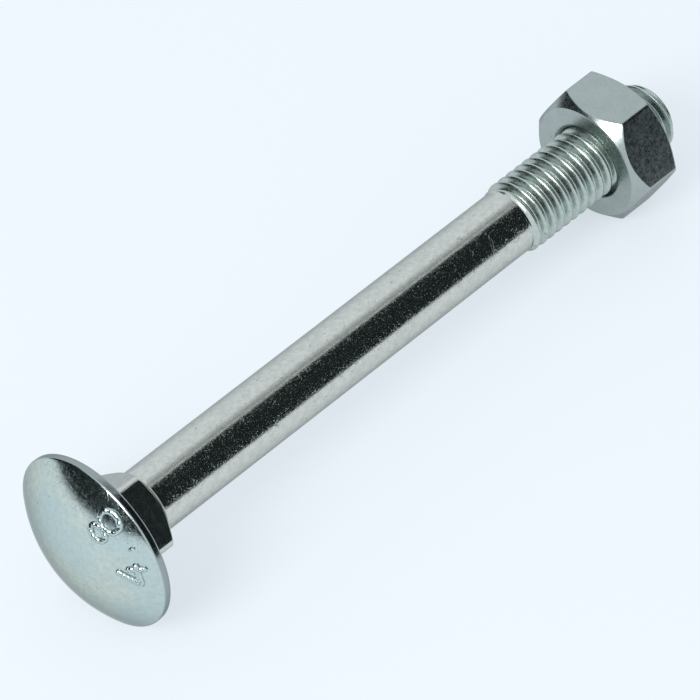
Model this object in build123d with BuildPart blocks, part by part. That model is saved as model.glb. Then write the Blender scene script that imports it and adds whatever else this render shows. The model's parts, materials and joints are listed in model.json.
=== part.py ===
"""M10 x 100 carriage bolt (cup head, square neck) with its hexagon nut run on near the tip.

The bolt lies on a surface as it comes to rest, on the rim of its head and on one flat of the nut,
so its axis dips a little towards the tip. The origin is the centre of the head's bearing face.
+X runs along the bolt towards the tip, +Y is level and +Z is up. Sizes are in millimetres.
"""
import os
from math import atan, cos, degrees, radians, sin, sqrt, tan

from build123d import *

# Bolt: head
head_diameter = 24.4        # across the rim
head_height = 5.4           # top of the dome to the bearing face
rim_thickness = 1.1         # straight edge between the dome and the bearing face
rim_round = 0.4             # rounding of both edges of the rim
# Bolt: square neck
neck_width = 10.0           # across the flats of the square
neck_depth = 6.7            # bearing face to the end of the square
neck_corner = 1.0           # rounding of the square's long edges
neck_end_cut = 0.8          # how much shorter the corners are than the flats
neck_turn = -35.0           # how far the square is turned from level, in degrees
# Bolt: shank, thread and tip
bolt_length = 100.0         # bearing face to the tip
shank_diameter = 8.85       # plain shank, about the pitch diameter of the thread
thread_diameter = 9.85      # over the crests
thread_length = 26.0        # tip to the first full thread
runout_length = 1.6         # the thread fades into the shank over this length
tip_chamfer = 1.0           # along the axis and across it
# Hexagon nut
nut_flats = 16.75           # across flats
nut_corner_round = 0.5      # rounding of the six long edges
nut_height = 7.7
nut_face_diameter = 16.0    # flat round face inside the corner chamfers, both ends
nut_inner_chamfer = 48.0    # degrees from the face, on the side of the head
nut_outer_chamfer = 32.0    # degrees from the face, on the side of the tip
countersink = 0.5           # at both mouths of the nut's bore
tip_standout = 4.8          # the tip stands out of the nut by this much
thread_clearance = 0.05     # radial, between the crests and the nut's bore

# Worked out from the sizes above
head_radius = head_diameter / 2
dome_height = head_height - rim_thickness
dome_radius = (head_radius**2 + dome_height**2) / (2 * dome_height)
neck_corner_radius = (neck_width / 2 - neck_corner) * sqrt(2) + neck_corner
shank_radius = shank_diameter / 2
thread_radius = thread_diameter / 2
thread_start = bolt_length - thread_length
nut_near = bolt_length - tip_standout - nut_height
nut_far = nut_near + nut_height
nut_corner_radius = nut_flats / 2 / cos(radians(30))
nut_face_radius = nut_face_diameter / 2
bore_radius = thread_radius + thread_clearance

# The bolt touches the surface at the middle of the head's rim and where the nut's lowest flat
# meets the chamfer next to the tip. The axis dips by the angle between those two points.
flat_end = nut_far - (nut_flats / 2 - nut_face_radius) * tan(radians(nut_outer_chamfer))
dip = degrees(atan((head_radius - nut_flats / 2) / (flat_end + rim_thickness / 2)))
along = Vector(cos(radians(dip)), 0, -sin(radians(dip)))

bolt_axis = Axis((0, 0, 0), along)
section = Plane(origin=(0, 0, 0), x_dir=along, z_dir=(0, -1, 0))   # x along the bolt, y outwards
across = Plane(origin=(0, 0, 0), x_dir=(0, 1, 0), z_dir=along)     # square to the bolt


with BuildPart() as bolt:
    # Square neck. A cone cuts its corners back at the end next to the shank.
    with BuildSketch(across):
        RectangleRounded(neck_width, neck_width, neck_corner, rotation=neck_turn)
    extrude(amount=neck_depth)
    with BuildSketch(section):
        with BuildLine():
            Polyline(
                (0, 0),
                (0, neck_corner_radius),
                (neck_depth - neck_end_cut, neck_corner_radius),
                (neck_depth, neck_width / 2),
                (neck_depth, 0),
                close=True,
            )
        make_face()
    revolve(axis=bolt_axis, mode=Mode.INTERSECT)

    # Domed head
    with BuildSketch(section) as head_section:
        with BuildLine():
            dome = RadiusArc((-head_height, 0), (-rim_thickness, head_radius), dome_radius)
            Polyline(dome @ 1, (0, head_radius), (0, 0), dome @ 0)
        make_face()
        rim_corners = head_section.vertices().group_by(Axis.Y)[-1]
        fillet(rim_corners, radius=rim_round)
    revolve(axis=bolt_axis)

    # Plain shank, thread over its crests, and the chamfered tip
    with BuildSketch(section):
        with BuildLine():
            Polyline(
                (0, 0),
                (0, shank_radius),
                (thread_start - runout_length, shank_radius),
                (thread_start, thread_radius),
                (bolt_length - tip_chamfer, thread_radius),
                (bolt_length, thread_radius - tip_chamfer),
                (bolt_length, 0),
                close=True,
            )
        make_face()
    revolve(axis=bolt_axis)


with BuildPart() as hex_nut:
    with BuildSketch(across.offset(nut_near)) as hexagon:
        RegularPolygon(radius=nut_flats / 2, side_count=6, major_radius=False)
        fillet(hexagon.vertices(), radius=nut_corner_round)
    extrude(amount=nut_height)

    # Cones take the corners off at both ends
    corner_overhang = nut_corner_radius - nut_face_radius
    with BuildSketch(section):
        with BuildLine():
            Polyline(
                (nut_near, 0),
                (nut_near, nut_face_radius),
                (nut_near + corner_overhang * tan(radians(nut_inner_chamfer)), nut_corner_radius),
                (nut_far - corner_overhang * tan(radians(nut_outer_chamfer)), nut_corner_radius),
                (nut_far, nut_face_radius),
                (nut_far, 0),
                close=True,
            )
        make_face()
    revolve(axis=bolt_axis, mode=Mode.INTERSECT)

    # Bore over the crests of its thread, countersunk at both mouths
    with BuildSketch(section):
        with BuildLine():
            Polyline(
                (nut_near, 0),
                (nut_near, bore_radius + countersink),
                (nut_near + countersink, bore_radius),
                (nut_far - countersink, bore_radius),
                (nut_far, bore_radius + countersink),
                (nut_far, 0),
                close=True,
            )
        make_face()
    revolve(axis=bolt_axis, mode=Mode.SUBTRACT)


bolt.part.label = "bolt"
hex_nut.part.label = "hex_nut"

os.makedirs("parts", exist_ok=True)
export_step(bolt.part, "parts/bolt.step")
export_step(hex_nut.part, "parts/hex_nut.step")

print(f"axis dips {dip:.3f} degrees")
print(f"nut runs from {nut_near:.2f} to {nut_far:.2f} along the bolt")
print(f"bolt {bolt.part.volume:.1f} mm3, nut {hex_nut.part.volume:.1f} mm3")
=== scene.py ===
"""An M10 x 100 carriage bolt and its hexagon nut in bright zinc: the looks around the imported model.

Lengths are in millimetres until a mesh or a lamp is made, and metres from there. A point of the
bolt or the nut is given by its place along the bolt, its radius, and its angle about the bolt's
axis, from level (+Y) towards up.
"""
import json
import math

import bpy
import numpy as np
from mathutils import Matrix, Vector


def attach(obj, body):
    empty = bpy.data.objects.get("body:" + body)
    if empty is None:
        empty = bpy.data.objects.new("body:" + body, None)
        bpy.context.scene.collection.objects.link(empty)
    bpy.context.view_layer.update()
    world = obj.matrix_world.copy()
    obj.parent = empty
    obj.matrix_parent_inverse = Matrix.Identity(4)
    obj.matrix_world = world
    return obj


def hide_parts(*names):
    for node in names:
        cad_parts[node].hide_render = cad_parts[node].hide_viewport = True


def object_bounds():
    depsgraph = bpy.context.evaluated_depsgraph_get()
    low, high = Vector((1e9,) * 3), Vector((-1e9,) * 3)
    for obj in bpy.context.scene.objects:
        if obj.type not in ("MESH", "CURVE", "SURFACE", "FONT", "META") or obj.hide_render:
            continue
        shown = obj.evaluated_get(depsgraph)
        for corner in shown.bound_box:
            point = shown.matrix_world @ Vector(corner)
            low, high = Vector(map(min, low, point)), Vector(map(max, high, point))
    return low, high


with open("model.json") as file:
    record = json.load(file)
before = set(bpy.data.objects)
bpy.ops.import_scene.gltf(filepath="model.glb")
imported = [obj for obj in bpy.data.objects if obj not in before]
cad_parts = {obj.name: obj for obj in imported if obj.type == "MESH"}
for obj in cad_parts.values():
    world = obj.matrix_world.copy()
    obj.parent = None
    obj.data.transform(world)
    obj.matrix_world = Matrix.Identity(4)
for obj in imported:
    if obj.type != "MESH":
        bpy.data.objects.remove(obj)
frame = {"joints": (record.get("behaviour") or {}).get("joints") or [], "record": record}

cad_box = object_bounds()
MM = 0.001

# The bolt's own directions
along = np.array(frame["joints"][0]["axis"])
level = np.array((0.0, 1.0, 0.0))
up = np.cross(along, level)
mounts = {mount["name"]: mount for mount in frame["record"]["mounts"]}

# Bolt, as in the CAD model
head_radius = 12.2
head_height = 5.4
rim_thickness = 1.1
rim_round = 0.4
neck_half = 5.0             # half of the square
neck_depth = 6.7
neck_corner = 1.0
neck_end_cut = 0.8
neck_turn = math.radians(-35)
neck_root = 0.45            # fillet between the square and the head
bolt_length = 100.0
shank_radius = 4.425
thread_radius = mounts["bolt_thread"]["dims"]["r_mm"]
thread_start = bolt_length - mounts["bolt_thread"]["dims"]["length_mm"]
runout_length = 1.6
tip_chamfer = 1.0
tip_dish = 0.25             # hollow of the cropped end

# Nut, as in the CAD model
nut_near = float(np.dot(mounts["nut_seat"]["pos_m"], along)) / MM
nut_height = 7.7
nut_far = nut_near + nut_height
nut_half = 8.375            # half of the width across flats
nut_corner_round = 0.5
nut_face_radius = 8.0
nut_inner_chamfer = math.radians(48)
nut_outer_chamfer = math.radians(32)
mouth_radius = 5.475        # countersink at both ends of the bore

# Thread, which the CAD model leaves out
pitch = 1.5
thread_root = 4.08
crest_flat = 0.15           # half of the flat on a crest
thread_softness = 0.26
nut_thread_gap = 0.08
nut_minor_radius = 4.26


# ---------------------------------------------------------------- meshes

def ring_mesh(name, rows, angles, loop=False):
    """A closed mesh of rings: each row is (places along the bolt, radii), one value per angle."""
    count = len(angles)
    verts = []
    for place, radius in rows:
        place = np.broadcast_to(place, count)
        radius = np.broadcast_to(radius, count)
        verts.append(np.outer(place, along) + np.outer(radius * np.cos(angles), level)
                     + np.outer(radius * np.sin(angles), up))
    verts = np.concatenate(verts)
    faces = []
    last = len(rows) if loop else len(rows) - 1
    for i in range(last):
        this, following = i * count, (i + 1) % len(rows) * count
        for j in range(count):
            k = (j + 1) % count
            faces.append((this + j, this + k, following + k, following + j))
    if not loop:
        start, end = len(verts), len(verts) + 1
        centres = [np.mean(rows[0][0]) * along, np.mean(rows[-1][0]) * along]
        verts = np.concatenate([verts, centres])
        final = (len(rows) - 1) * count
        for j in range(count):
            k = (j + 1) % count
            faces.append((start, k, j))
            faces.append((final + j, final + k, end))
    return add_mesh(name, verts, faces)


def add_mesh(name, verts, faces):
    """Makes a smooth-shaded object from points in millimetres."""
    mesh = bpy.data.meshes.new(name)
    mesh.from_pydata([tuple(v) for v in np.asarray(verts) * MM], [], faces)
    mesh.polygons.foreach_set("use_smooth", [True] * len(mesh.polygons))
    mesh.validate()
    piece = bpy.data.objects.new(name, mesh)
    bpy.context.scene.collection.objects.link(piece)
    return piece


def soften(keys, steps=4):
    """Rows through the keys (place, radius, rounding), with each key's edge rounded off."""
    count = max(np.size(value) for key in keys for value in key[:2])
    points = [np.stack([np.broadcast_to(place, count), np.broadcast_to(radius, count)])
              for place, radius, _ in keys]
    rows = []
    for i, (_, _, rounding) in enumerate(keys):
        here = points[i]
        if i in (0, len(keys) - 1) or rounding == 0:
            rows.append(tuple(here))
            continue
        back, ahead = points[i - 1] - here, points[i + 1] - here
        back_length = np.maximum(np.hypot(*back), 1e-6)
        ahead_length = np.maximum(np.hypot(*ahead), 1e-6)
        reach = np.minimum(rounding, 0.25 * np.minimum(back_length, ahead_length))
        start = here + back / back_length * reach
        end = here + ahead / ahead_length * reach
        rows.append(tuple(here + back / back_length * reach * 1.6))
        for t in np.linspace(0, 1, steps + 1):
            rows.append(tuple((1 - t)**2 * start + 2 * t * (1 - t) * here + t**2 * end))
        rows.append(tuple(here + ahead / ahead_length * reach * 1.6))
    return rows


def sides_angles(sides, turn, corner, half, flat_steps, corner_steps):
    """Angles around a regular polygon, closer together at its rounded corners."""
    half_side = math.pi / sides
    tangent = math.atan((half - corner) * math.tan(half_side) / half)
    flat = np.linspace(-tangent * 0.985, tangent * 0.985, flat_steps)
    bend = np.linspace(tangent, 2 * half_side - tangent, corner_steps)
    one_side = np.concatenate([flat, bend])
    return np.concatenate([turn + one_side + 2 * half_side * i for i in range(sides)])


def polygon_radius(angles, sides, turn, corner, half):
    """Radius of a regular polygon with rounded corners; turn is where one flat faces."""
    half_side = math.pi / sides
    off = np.abs((angles - turn + half_side) % (2 * half_side) - half_side)
    tangent = math.atan((half - corner) * math.tan(half_side) / half)
    centre = (half - corner) / math.cos(half_side)
    from_corner = half_side - off
    reach = np.maximum(corner**2 - (centre * np.sin(from_corner))**2, 0)
    rounded = centre * np.cos(from_corner) + np.sqrt(reach)
    return np.where(off <= tangent, half / np.cos(off), rounded)


def soft_min(a, b, width):
    """The smaller of two values, with the corner between them rounded."""
    share = np.clip(0.5 + 0.5 * (b - a) / width, 0, 1)
    return b * (1 - share) + a * share - width * share * (1 - share)


def thread(place, angles):
    """Radius of the right-handed 60 degree thread."""
    turn = (place / pitch - angles / (2 * math.pi)) % 1
    off_crest = np.abs(turn - 0.5) * pitch
    flank = thread_radius + (crest_flat - off_crest) * math.tan(math.radians(60))
    capped = soft_min(flank, thread_radius, thread_softness)
    return -soft_min(-capped, -thread_root, thread_softness)


# ---------------------------------------------------------------- bolt

dome_height = head_height - rim_thickness
dome_radius = (head_radius**2 + dome_height**2) / (2 * dome_height)
dome_centre = dome_radius - head_height


def head_rows():
    """Dome, rounded rim and flat underside, as arcs."""
    inner = head_radius - rim_round
    meet = math.asin(inner / (dome_radius - rim_round))
    edge = dome_centre - (dome_radius - rim_round) * math.cos(meet)
    rows = []
    for tilt in np.linspace(meet / 36, meet, 36):
        rows.append((dome_centre - dome_radius * math.cos(tilt), dome_radius * math.sin(tilt)))
    for tilt in np.linspace(meet, math.pi / 2, 6)[1:]:
        rows.append((edge - rim_round * math.cos(tilt), inner + rim_round * math.sin(tilt)))
    for tilt in np.linspace(math.pi / 2, math.pi, 7):
        rows.append((-rim_round - rim_round * math.cos(tilt), inner + rim_round * math.sin(tilt)))
    return rows


def neck_rows(angles):
    """Square neck with its root fillet and the corners cut back next to the shank."""
    square = polygon_radius(angles, 4, neck_turn, neck_corner, neck_half)
    corner_reach = (neck_half - neck_corner) * math.sqrt(2) + neck_corner
    cut = neck_depth - neck_end_cut * (square - neck_half) / (corner_reach - neck_half)
    keys = [
        (0.0, head_radius - 1.5, 0),
        (0.0, square + neck_root * 2, 0),
        (0.0, square, neck_root),
        (cut, square, 0.16),
        (neck_depth + 0.02, neck_half - 0.06, 0.1),
        (neck_depth + 0.5, shank_radius, 0.3),
        (neck_depth + 3, shank_radius, 0),
    ]
    return soften(keys)


def shank_rows():
    """Plain shank, in even steps."""
    start, end = neck_depth + 4, thread_start - runout_length - 0.3
    return [(place, shank_radius) for place in np.linspace(start, end, 24)]


def thread_rows(angles, rows_per_turn=17):
    """Thread, with its run-out at the shank and the chamfer at the tip."""
    start = thread_start - runout_length
    chamfer = bolt_length - tip_chamfer
    rows = []
    for place in np.arange(start, bolt_length - 0.01, pitch / rows_per_turn):
        share = np.clip((place - start) / runout_length, 0, 1)
        share = share * share * (3 - 2 * share)
        radius = shank_radius + share * (thread(place, angles) - shank_radius)
        cone = thread_radius - (place - chamfer)
        rows.append((place, soft_min(radius, cone, 0.1) if place > chamfer - 0.3 else radius))
    return rows


def tip_rows():
    """The cropped end: a rounded edge and a shallow dish."""
    edge = thread_radius - tip_chamfer
    return [
        (bolt_length - 0.03, edge),
        (bolt_length, edge - 0.1),
        (bolt_length, edge - 0.35),
        (bolt_length - tip_dish * 0.35, edge - 1.1),
        (bolt_length - tip_dish * 0.8, edge - 2.2),
        (bolt_length - tip_dish, 0.6),
    ]


def make_bolt():
    """Dome, neck, shank, thread and tip as one closed mesh."""
    angles = sides_angles(4, neck_turn, neck_corner, neck_half, 38, 9)
    rows = head_rows() + neck_rows(angles) + shank_rows() + thread_rows(angles) + tip_rows()
    return ring_mesh("carriage_bolt", rows, angles)


# ---------------------------------------------------------------- nut

def make_nut():
    """Hexagon with coned ends, countersunk mouths and a real internal thread."""
    angles = sides_angles(6, math.pi / 2, nut_corner_round, nut_half, 22, 6)
    hexagon = polygon_radius(angles, 6, math.pi / 2, nut_corner_round, nut_half)
    inner_cut = nut_near + (hexagon - nut_face_radius) * math.tan(nut_inner_chamfer)
    outer_cut = nut_far - (hexagon - nut_face_radius) * math.tan(nut_outer_chamfer)
    edge = 0.14
    rows = soften([
        (nut_near + 0.02, mouth_radius, 0),
        (nut_near, mouth_radius + 0.25, 0.05),
        (nut_near, nut_face_radius, edge),
        (inner_cut, hexagon, edge),
        (outer_cut, hexagon, edge),
        (nut_far, nut_face_radius, edge),
        (nut_far, mouth_radius + 0.25, 0.05),
        (nut_far - 0.02, mouth_radius, 0),
    ])
    depth_steps = int(nut_height / pitch * 14)
    for depth in np.linspace(0.1, nut_height - 0.1, depth_steps):
        place = nut_far - depth
        threaded = np.maximum(thread(place, angles) + nut_thread_gap, nut_minor_radius)
        cone = mouth_radius - min(depth, nut_height - depth)
        rows.append((place, np.maximum(threaded, cone)))
    return ring_mesh("hexagon_nut", rows, angles, loop=True)


# ---------------------------------------------------------------- raised number on the dome

stroke_width = 0.8
stroke_height = 0.34
stroke_unevenness = 0.35    # the struck number's strokes aren't equally high all along
stroke_sink = 0.12          # how far a stroke's foot goes into the dome
facing = math.radians(125.3)    # angle about the axis at which the number sits, near the middle


def oval(centre, width, height, steps=40):
    """A closed loop of points."""
    turns = np.linspace(0, 2 * math.pi, steps, endpoint=False)
    return [(centre[0] + width / 2 * math.cos(t), centre[1] + height / 2 * math.sin(t))
            for t in turns]


def evenly(points, step=0.12):
    """Points along straight runs, a step apart."""
    points = np.array(points, float)
    result = []
    for a, b in zip(points[:-1], points[1:]):
        count = max(2, int(np.hypot(*(b - a)) / step))
        result += [tuple(a + (b - a) * i / count) for i in range(count)]
    result.append(tuple(points[-1]))
    return result


def on_dome(across, toward_centre, distance, turn, height):
    """A point of a figure that stands on the dome with its top towards the dome's centre."""
    angle = facing - turn
    outward = np.array((math.cos(angle), math.sin(angle)))
    right = np.array((math.sin(angle), -math.cos(angle)))
    flat = outward * (distance - toward_centre) + right * across
    radius = np.hypot(*flat)
    tilt = math.asin(radius / dome_radius)
    lift = dome_radius + height
    ring = flat / radius * lift * math.sin(tilt)
    return (dome_centre - lift * math.cos(tilt)) * along + ring[0] * level + ring[1] * up


def stroke(path, closed, distance, turn, verts, faces):
    """Adds one raised, rounded stroke to the lists."""
    path = np.array(path)
    count = len(path)
    ahead = np.roll(path, -1, 0) - np.roll(path, 1, 0)
    if not closed:
        ahead[0], ahead[-1] = path[1] - path[0], path[-1] - path[-2]
    ahead /= np.hypot(*ahead.T)[:, None]
    side = np.stack([ahead[:, 1], -ahead[:, 0]], 1)
    section = [(math.cos(t), math.sin(t)) for t in np.linspace(0, math.pi, 9)]
    size = len(section) + 2
    base = len(verts)
    for i in range(count):
        shrink = 1.0
        if not closed:
            to_end = min(i, count - 1 - i) * 0.12 / (stroke_width / 2)
            shrink = math.sqrt(max(0.02, 1 - max(0, 1 - to_end)**2))
        uneven = 1 + stroke_unevenness * math.sin(2.3 * i) * math.sin(0.7 * i + distance)
        for x, y in section:
            p = path[i] + side[i] * x * stroke_width / 2 * shrink
            verts.append(on_dome(p[0], p[1], distance, turn, y * stroke_height * shrink * uneven))
        for x in (-1, 1):
            p = path[i] + side[i] * x * stroke_width / 2 * shrink
            verts.append(on_dome(p[0], p[1], distance, turn, -stroke_sink))
    for i in range(count if closed else count - 1):
        this, following = base + i * size, base + (i + 1) % count * size
        for j in range(size):
            k = (j + 1) % size
            faces.append((this + j, following + j, following + k, this + k))
    if not closed:
        faces.append(tuple(base + j for j in range(size)))
        faces.append(tuple(base + (count - 1) * size + j for j in reversed(range(size))))


def make_mark():
    """The plain number 4.8 in raised strokes."""
    verts, faces = [], []
    eight, dot, four = math.radians(4.4), math.radians(-19), math.radians(-39)
    stroke(oval((0, 1.2), 2.3, 1.5), True, 9.1, eight, verts, faces)
    stroke(oval((0, -0.85), 2.9, 2.1), True, 9.1, eight, verts, faces)
    stroke(evenly([(-0.22, 0), (0.22, 0)], 0.05), False, 10.35, dot, verts, faces)
    stroke(evenly([(0.5, 1.9), (-1.5, -0.6), (1.6, -0.6)]), False, 9.25, four, verts, faces)
    stroke(evenly([(0.7, 0.7), (0.7, -1.8)]), False, 9.25, four, verts, faces)
    return add_mesh("grade_number", verts, faces)


# ---------------------------------------------------------------- materials

dome_blue = (0.53, 0.65, 0.64)
dome_cream = (0.66, 0.7, 0.61)
dome_mottle = (0.5, 0.58, 0.56)
# painted dark reflection: the rim's darker grey stands in for the dark surroundings that the rim
# mirrors
rim_painted_dark_reflection = (0.34, 0.38, 0.375)
thread_light = (0.56, 0.63, 0.585)
thread_dark = (0.45, 0.52, 0.485)
pit_colour = (0.36, 0.39, 0.38)
film_fade = 2.0             # the thread's greener, duller film comes in over this length


def node(tree, kind, **inputs):
    """Adds a shader node; an input given a socket is linked to it, any other value is set."""
    made = tree.nodes.new(kind)
    for name, value in inputs.items():
        socket = made.inputs[name.replace("_", " ")]
        if isinstance(value, bpy.types.NodeSocket):
            tree.links.new(value, socket)
        else:
            socket.default_value = value
    return made


def noise(tree, place, size, detail=3.0, roughness=0.55):
    """Noise with features of about this size in millimetres, from 0 to 1."""
    made = node(tree, "ShaderNodeTexNoise", Vector=place, Scale=1 / (size * MM),
                Detail=detail, Roughness=roughness)
    return made.outputs["Fac"]


def spread(tree, value, low, high, to_low, to_high):
    """Maps a stretch of values onto another, clamped."""
    made = node(tree, "ShaderNodeMapRange", Value=value)
    made.inputs["From Min"].default_value = low
    made.inputs["From Max"].default_value = high
    made.inputs["To Min"].default_value = to_low
    made.inputs["To Max"].default_value = to_high
    return made.outputs["Result"]


def blend_colours(tree, share, first, second):
    """Mixes two colours by a value."""
    made = tree.nodes.new("ShaderNodeMix")
    made.data_type = "RGBA"
    tree.links.new(share, made.inputs["Factor"])
    colour_inputs = [s for s in made.inputs if s.type == "RGBA"]
    for socket, value in zip(colour_inputs, (first, second)):
        if isinstance(value, bpy.types.NodeSocket):
            tree.links.new(value, socket)
        else:
            socket.default_value = (*value, 1)
    return [s for s in made.outputs if s.type == "RGBA"][0]


def bump(tree, height, strength, depth, beneath=None):
    """Bump of this depth in millimetres, over an earlier one. Strength is a number or a socket."""
    made = node(tree, "ShaderNodeBump", Height=height, Strength=strength, Distance=depth * MM)
    if beneath:
        tree.links.new(beneath, made.inputs["Normal"])
    return made.outputs["Normal"]


def region(tree, place, start, end):
    """0 before one place along the bolt and 1 after another, in millimetres."""
    reach = tree.nodes.new("ShaderNodeVectorMath")
    reach.operation = "DOT_PRODUCT"
    tree.links.new(place, reach.inputs[0])
    reach.inputs[1].default_value = tuple(along)
    return spread(tree, reach.outputs["Value"], start * MM, end * MM, 0, 1)


def scratches(tree, place, turn, width):
    """Thin straight marks in one direction, as a value from 0 to 1."""
    turned = node(tree, "ShaderNodeMapping", Vector=place, Rotation=turn)
    drawn = node(tree, "ShaderNodeMapping", Vector=turned.outputs["Vector"], Scale=(1, 0.045, 1))
    return spread(tree, noise(tree, drawn.outputs["Vector"], width, 2), 0.69, 0.73, 0, 1)


def arithmetic(tree, operation, *values):
    """A Math node on numbers or sockets."""
    made = tree.nodes.new("ShaderNodeMath")
    made.operation = operation
    for socket, value in zip(made.inputs, values):
        if isinstance(value, bpy.types.NodeSocket):
            tree.links.new(value, socket)
        else:
            socket.default_value = value
    return made.outputs[0]


def bolt_film(tree, place, mottle, colour):
    """The bolt's film: bluish to cream on the dome and greener on the thread, with the rim painted a
    darker grey, which is a painted dark reflection.
    """
    film = spread(tree, noise(tree, place, 11, 2), 0.42, 0.6, 0, 1)
    head = blend_colours(tree, film, dome_blue, dome_cream)
    head = blend_colours(tree, mottle, head, dome_mottle)
    # the rim band takes the darker grey, a painted dark reflection
    rim = region(tree, place, -rim_thickness - 0.1, -rim_thickness + 0.1)
    head = blend_colours(tree, rim, head, rim_painted_dark_reflection)
    colour = blend_colours(tree, region(tree, place, -0.2, -0.02), head, colour)
    green = blend_colours(tree, mottle, thread_light, thread_dark)
    on_thread = region(tree, place, thread_start - film_fade, thread_start)
    return blend_colours(tree, on_thread, colour, green)


def zinc(name, light, dark, grain, shine, mottling, bolt_zones=False):
    """Blue-passivated zinc: mottled metal with a fine orange peel, pits, sparkle and scratches.
    Grain is the strength of the relief, shine the least roughness, mottling a size."""
    material = bpy.data.materials.new(name)
    material.use_nodes = True
    tree = material.node_tree
    shader = tree.nodes["Principled BSDF"]
    shader.inputs["Metallic"].default_value = 1.0
    shader.inputs["Specular Tint"].default_value = (0.5, 0.52, 0.52, 1)
    place = tree.nodes.new("ShaderNodeTexCoord").outputs["Object"]

    mottle = spread(tree, noise(tree, place, mottling, 6, 0.7), 0.36, 0.66, 0, 1)
    colour = blend_colours(tree, mottle, light, dark)
    if bolt_zones:
        colour = bolt_film(tree, place, mottle, colour)
    pits = spread(tree, noise(tree, place, 0.75, 5), 0.28, 0.34, 1, 0)
    colour = blend_colours(tree, pits, colour, pit_colour)
    tree.links.new(colour, shader.inputs["Base Color"])

    rough = spread(tree, noise(tree, place, 0.5, 4), 0.3, 0.7, shine - 0.04, shine + 0.08)
    if bolt_zones:
        on_thread = region(tree, place, thread_start - film_fade, thread_start)
        off_head = region(tree, place, neck_depth - 0.2, neck_depth + 2.3)
        rough = arithmetic(tree, "MULTIPLY_ADD", on_thread, 0.12, rough)
        calm = arithmetic(tree, "MULTIPLY_ADD", off_head, 0.5, 0.5)
        calm = arithmetic(tree, "MULTIPLY", calm,
                          arithmetic(tree, "MULTIPLY_ADD", on_thread, -0.75, 1.0))
        grain = arithmetic(tree, "MULTIPLY", calm, grain)
    tree.links.new(rough, shader.inputs["Roughness"])

    stretch = node(tree, "ShaderNodeMapping", Vector=place, Scale=(0.05, 1.0, 1.0))
    drawn_lines = noise(tree, stretch.outputs["Vector"], 0.14, 2)
    sparkle = spread(tree, noise(tree, place, 0.22, 3), 0.61, 0.72, 0, 1)
    normal = bump(tree, noise(tree, place, 0.24, 3), grain, 0.026)
    normal = bump(tree, drawn_lines, grain, 0.014, normal)
    normal = bump(tree, sparkle, grain, 0.034, normal)
    normal = bump(tree, pits, grain, -0.04, normal)
    for turn in ((0.6, 0.3, 0.9), (2.1, 0.2, -0.5)):
        normal = bump(tree, scratches(tree, place, turn, 0.5), grain, 0.045, normal)
    tree.links.new(normal, shader.inputs["Normal"])
    return material


# ---------------------------------------------------------------- stage

pale = (0.863, 0.930, 0.991)        # background, linear
floor_level = cad_box[0][2]
card_reach = 0.6            # how far off the arch and the low card stand, in metres
arch_stations = np.linspace(0.08, 1.1, 8)     # places of the arch's points along X, in metres


def background_share(tree):
    """1 for camera, glossy and transmission rays, 0 for light that falls on things."""
    path = tree.nodes.new("ShaderNodeLightPath")
    total = path.outputs["Is Camera Ray"]
    for ray in ("Is Glossy Ray", "Is Transmission Ray"):
        total = arithmetic(tree, "MAXIMUM", total, path.outputs[ray])
    return total


def make_world():
    """Pale all round for the eye and the metal, and soft grey light for everything else."""
    world = bpy.data.worlds.new("studio")
    bpy.context.scene.world = world
    world.use_nodes = True
    tree = world.node_tree
    background = tree.nodes["Background"]
    share = background_share(tree)
    tree.links.new(blend_colours(tree, share, (0.69, 0.74, 0.78), pale), background.inputs["Color"])
    background.inputs["Strength"].default_value = 1.0


def make_floor(shade_share=0.35, half=3.0):
    """Plain pale floor. It keeps the shadow, at part strength."""
    mesh = bpy.data.meshes.new("floor")
    corners = [(-half, -half), (half, -half), (half, half), (-half, half)]
    mesh.from_pydata([(x, y, floor_level) for x, y in corners], [], [(0, 1, 2, 3)])
    floor = bpy.data.objects.new("floor", mesh)
    bpy.context.scene.collection.objects.link(floor)
    material = bpy.data.materials.new("floor_white")
    material.use_nodes = True
    tree = material.node_tree
    tree.nodes.remove(tree.nodes["Principled BSDF"])
    lit = node(tree, "ShaderNodeBsdfDiffuse", Color=(0.84, 0.88, 0.92, 1))
    glow = node(tree, "ShaderNodeEmission", Color=(*pale, 1), Strength=1.0)
    amount = arithmetic(tree, "MULTIPLY", background_share(tree), 1 - shade_share)
    mix = node(tree, "ShaderNodeMixShader", Fac=amount)
    tree.links.new(lit.outputs[0], mix.inputs[1])
    tree.links.new(glow.outputs[0], mix.inputs[2])
    tree.links.new(mix.outputs[0], tree.nodes["Material Output"].inputs["Surface"])
    mesh.materials.append(material)


def flag_material(name, colour):
    """Glows as dimly as an unlit or half-lit part of a studio."""
    material = bpy.data.materials.new(name)
    material.use_nodes = True
    tree = material.node_tree
    tree.nodes.remove(tree.nodes["Principled BSDF"])
    dim = node(tree, "ShaderNodeEmission", Color=(*colour, 1), Strength=1.0)
    tree.links.new(dim.outputs[0], tree.nodes["Material Output"].inputs["Surface"])
    return material


def add_flag(name, verts, columns, material):
    """A dark card that only reflections show. Its points come in rows of so many columns."""
    faces = []
    for i in range(len(verts) // columns - 1):
        for j in range(columns - 1):
            a = i * columns + j
            faces.append((a, a + 1, a + columns + 1, a + columns))
    mesh = bpy.data.meshes.new(name)
    mesh.from_pydata(verts, [], faces)
    mesh.materials.append(material)
    flag = bpy.data.objects.new(name, mesh)
    bpy.context.scene.collection.objects.link(flag)
    flag.visible_camera = False
    flag.visible_diffuse = False
    flag.visible_shadow = False
    flag.visible_transmission = False


def arch_rows(tilts):
    """Rows of points on an arch along the bolt; a tilt is from overhead towards -Y."""
    return [(x, -card_reach * math.sin(tilt), card_reach * math.cos(tilt))
            for tilt in np.radians(tilts) for x in arch_stations]


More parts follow.
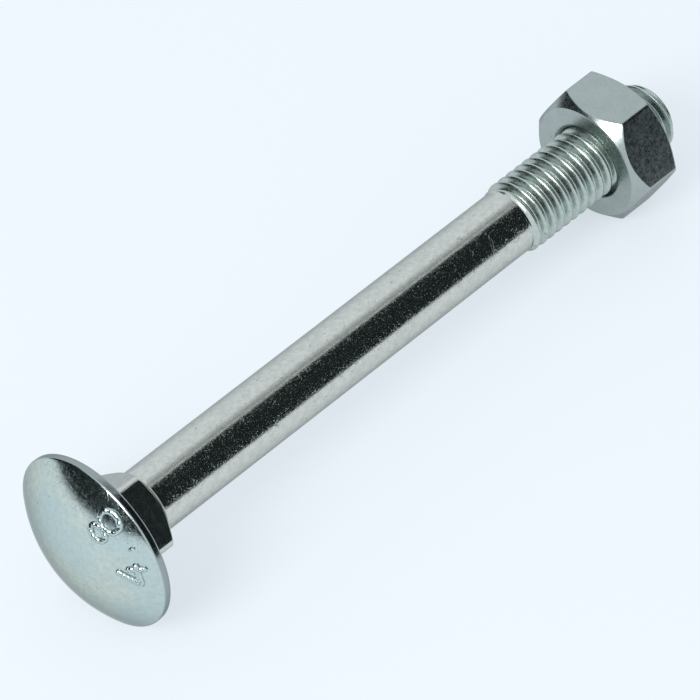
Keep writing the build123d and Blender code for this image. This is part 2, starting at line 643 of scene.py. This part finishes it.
def make_flags():
    """A dark arch along the bolt on its -Y side, three grey strips that lead up to it, with a
    pale slit between, and a low dark card behind the head."""
    black = flag_material("flag_black", (0.014, 0.02, 0.021))
    arch = arch_rows(np.linspace(7, 90, 24))
    arch += [(x, -near, floor_level + MM) for near in (card_reach, 0.1) for x in arch_stations]
    add_flag("flag_arch", arch, len(arch_stations), black)
    for start, end, grey in ((-19, -11, 0.68), (-11, -5, 0.5), (-5, 3, 0.33)):
        shade = flag_material(f"flag_grey_{grey * 100:.0f}", (grey * 0.92, grey, grey * 1.02))
        add_flag(f"flag_strip_{grey * 100:.0f}", arch_rows(np.linspace(start, end, 4)),
                 len(arch_stations), shade)
    low = []
    turns = np.linspace(88, 215, 34)
    fall = np.clip((turns - 160) / 25, 0, 1)
    tops = 48 - 22 * fall * fall * (3 - 2 * fall)
    for rises in (np.full(len(turns), 1.0), tops):
        for turn, rise in zip(np.radians(turns), np.radians(rises)):
            low.append((card_reach * math.cos(turn), card_reach * math.sin(turn),
                        card_reach * math.tan(rise)))
    add_flag("flag_low", low, len(turns), black)


def add_softbox(name, direction, distance, size, power, mirrored=True):
    """A square lamp that faces the middle of the bolt; metal may mirror it or not."""
    middle = Vector(along * bolt_length / 2 * MM)
    lamp = bpy.data.lights.new(name, "AREA")
    lamp.shape = "SQUARE"
    lamp.size = size
    lamp.energy = power
    lamp.color = (1.0, 0.99, 0.97)
    holder = bpy.data.objects.new(name, lamp)
    holder.location = middle + Vector(direction).normalized() * distance
    holder.rotation_euler = (middle - holder.location).to_track_quat("-Z", "Y").to_euler()
    holder.visible_glossy = mirrored
    bpy.context.scene.collection.objects.link(holder)


def make_lamps():
    """A softbox over the head, and a broad one behind that only lights the floor."""
    add_softbox("softbox_head", (-0.76, -0.13, 0.66), 0.9, 0.38, 4.2)
    add_softbox("softbox_back", (0.45, 0.75, 0.6), 1.2, 0.8, 1.2, mirrored=False)


def make_camera():
    """Looks down along the bolt from the head's side, from far off."""
    azimuth, elevation, roll = (math.radians(a) for a in (-42.677, 46.927, -5.288))
    distance, framing_right, framing_up = 691.02, 4.324, 4.074
    back = Vector((math.sin(azimuth) * math.cos(elevation),
                   -math.cos(azimuth) * math.cos(elevation), math.sin(elevation)))
    right = Vector((math.cos(azimuth), math.sin(azimuth), 0))
    upright = back.cross(right)
    right, upright = (math.cos(roll) * right + math.sin(roll) * upright,
                      math.cos(roll) * upright - math.sin(roll) * right)
    target = Vector(along * bolt_length / 2)
    place = target + back * distance - right * framing_right - upright * framing_up
    camera_data = bpy.data.cameras.new("camera")
    camera_data.sensor_width = 36
    camera_data.lens = 284.75
    camera_data.clip_end = 20
    camera = bpy.data.objects.new("camera", camera_data)
    turn = Matrix((right, upright, back)).transposed().to_4x4()
    camera.matrix_world = Matrix.Translation(place * MM) @ turn
    bpy.context.scene.collection.objects.link(camera)
    bpy.context.scene.camera = camera


# ---------------------------------------------------------------- put together

bpy.context.scene.view_settings.view_transform = "Standard"
make_camera()
make_world()
make_floor()
make_flags()
make_lamps()

bolt_zinc = zinc("zinc_bolt", light=(0.67, 0.68, 0.63), dark=(0.55, 0.56, 0.52), grain=0.36,
                 shine=0.14, mottling=0.8, bolt_zones=True)
nut_zinc = zinc("zinc_nut", light=(0.43, 0.478, 0.462), dark=(0.39, 0.435, 0.422), grain=0.05,
                shine=0.24, mottling=2.2)

bolt = make_bolt()
bolt.data.materials.append(bolt_zinc)
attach(bolt, "bolt")
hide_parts("bolt")

mark = make_mark()
mark.data.materials.append(bolt_zinc)
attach(mark, "bolt")

nut = make_nut()
nut.data.materials.append(nut_zinc)
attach(nut, "hex_nut")
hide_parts("hex_nut")
